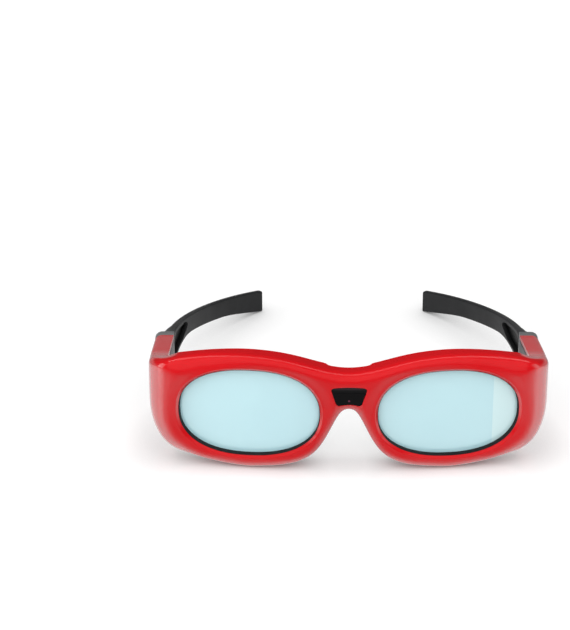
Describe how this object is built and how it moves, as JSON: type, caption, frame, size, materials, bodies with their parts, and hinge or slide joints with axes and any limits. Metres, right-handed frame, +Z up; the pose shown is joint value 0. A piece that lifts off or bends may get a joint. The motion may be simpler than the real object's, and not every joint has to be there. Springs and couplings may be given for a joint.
{
  "type": "active-shutter 3d glasses",
  "caption": "Wrap-around 3D glasses: glossy shell, dark rear cover, liquid-crystal lenses, sync window over the nose arch and curved folding arms.",
  "frame": {"origin": "on the table, under the middle of the open glasses' bounding box", "axes": "+X towards the wearer's left, -Y out of the front face, +Y along the arms, +Z up"},
  "size_m": [0.172, 0.1646, 0.0537],
  "materials": {
    "red_shell": "high-gloss moulded plastic, coloured through",
    "black_cover": "satin moulded plastic",
    "window_black": "polished dark plastic that passes infrared",
    "shutter_glass": "pale cyan liquid-crystal cell, polished",
    "gasket_rubber": "matt black rubber",
    "diode_epoxy": "dark clear epoxy",
    "board_green": "solder-masked laminate",
    "chip_black": "moulded epoxy",
    "film_amber": "polyimide film with printed conductors",
    "coil_ferrite": "sintered ferrite with enamelled wire",
    "capacitor_tan": "fired ceramic with tinned ends",
    "switch_steel": "stamped switch case",
    "button_black": "satin moulded plastic",
    "cell_steel": "nickel-plated steel can",
    "contact_brass": "sprung brass strip",
    "screw_steel": "zinc-plated steel",
    "collar_grey": "satin light-grey plastic",
    "pin_steel": "ground steel",
    "washer_white": "low-friction plastic",
    "arm_grey": "soft-touch coating over moulded plastic"
  },
  "bodies": {
    "front": {"front_shell": "red_shell", "rear_cover": "black_cover", "sensor_window": "window_black", "photodiode": "diode_epoxy", "sensor_board": "board_green", "lc_shutter_left": "shutter_glass", "lc_shutter_right": "shutter_glass", "lens_gasket_left": "gasket_rubber", "lens_gasket_right": "gasket_rubber", "shutter_tail_left": "film_amber", "shutter_tail_right": "film_amber", "brow_flex": "film_amber", "main_board": "board_green", "controller_chip": "chip_black", "boost_coil": "coil_ferrite", "capacitors": "capacitor_tan", "tact_switch": "switch_steel", "coin_cell": "cell_steel", "battery_clip": "contact_brass", "battery_leaf": "contact_brass", "battery_door": "black_cover", "battery_door_screw": "screw_steel", "hinge_collar_left": "collar_grey", "hinge_collar_right": "collar_grey", "hinge_washers_left": "washer_white", "hinge_washers_right": "washer_white"},
    "arm_left": {"arm_left": "arm_grey", "hinge_pin_left": "pin_steel"},
    "arm_right": {"arm_right": "arm_grey", "hinge_pin_right": "pin_steel"},
    "power_button": {"power_button": "button_black"}
  },
  "joints": [
    {"name": "arm_left_fold", "type": "hinge", "parent": "front", "child": "arm_left", "pos_m": [0.0808, -0.01348, 0.0275], "axis": [0, 0, 1], "range_deg": [0, 88]},
    {"name": "arm_right_fold", "type": "hinge", "parent": "front", "child": "arm_right", "pos_m": [-0.0808, -0.01348, 0.0275], "axis": [0, 0, -1], "range_deg": [0, 68]},
    {"name": "power_button_press", "type": "slide", "parent": "front", "child": "power_button", "axis": [0, 0, 1], "range_m": [0, 0.0005], "stiffness_N_per_m": 800, "springref_m": -0.0003}
  ]
}
